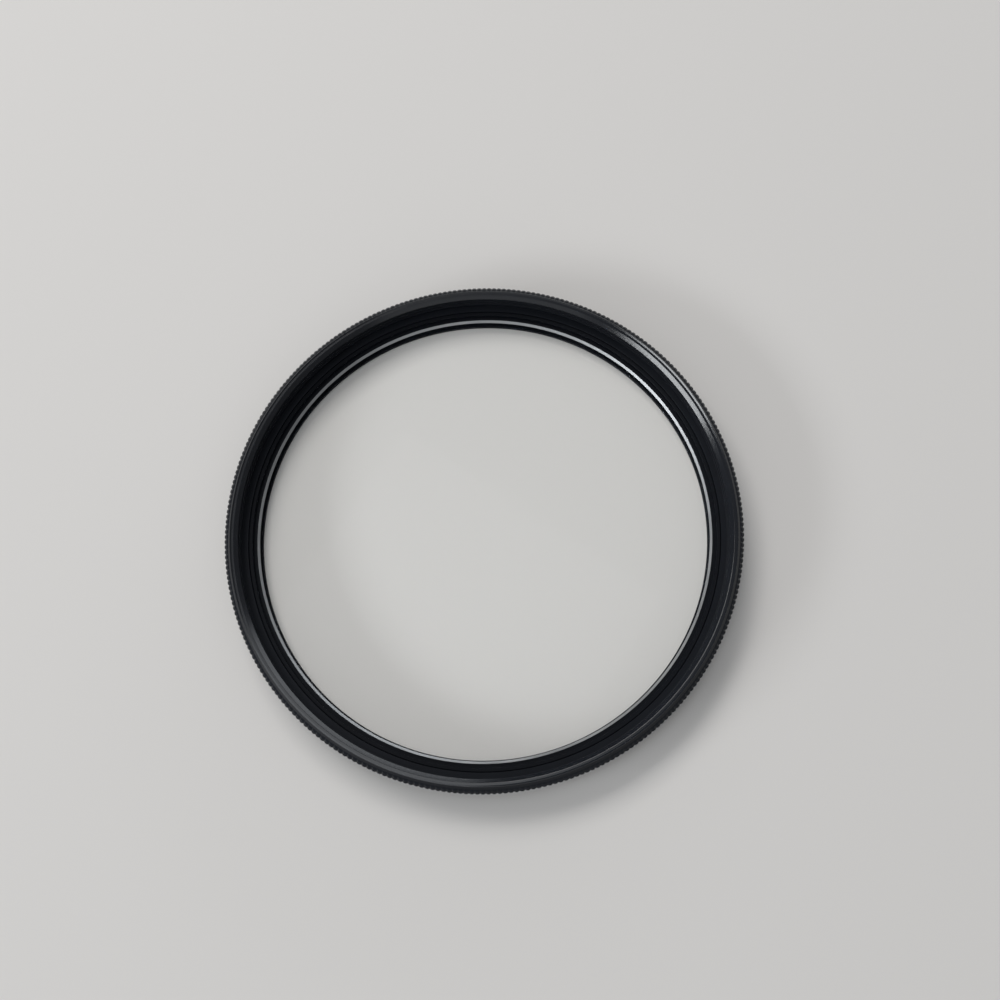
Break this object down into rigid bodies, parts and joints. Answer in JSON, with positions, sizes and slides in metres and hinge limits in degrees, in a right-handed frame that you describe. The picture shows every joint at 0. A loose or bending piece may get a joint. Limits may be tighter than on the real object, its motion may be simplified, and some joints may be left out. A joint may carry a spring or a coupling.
{
  "type": "uv filter",
  "caption": "Slim round screw-in lens filter: knurled black metal ring with male and female thread, flat clear glass and retaining ring.",
  "frame": {"origin": "middle of the bottom end face, which is the end of the male thread that the filter lies on", "axes": "+Z along the optical axis towards the front (female thread) side; +X and +Y are any two square directions across the round ring"},
  "size_m": [0.0604, 0.0604, 0.0048],
  "materials": {
    "ring_black": "turned aluminium, black anodised, satin",
    "retainer_black": "turned aluminium, black anodised, with the inner bevel cut bright afterwards",
    "clear_glass": "polished clear glass, ground edge"
  },
  "bodies": {
    "root": {"filter_ring": "ring_black", "retaining_ring": "retainer_black", "filter_glass": "clear_glass"}
  },
  "joints": []
}
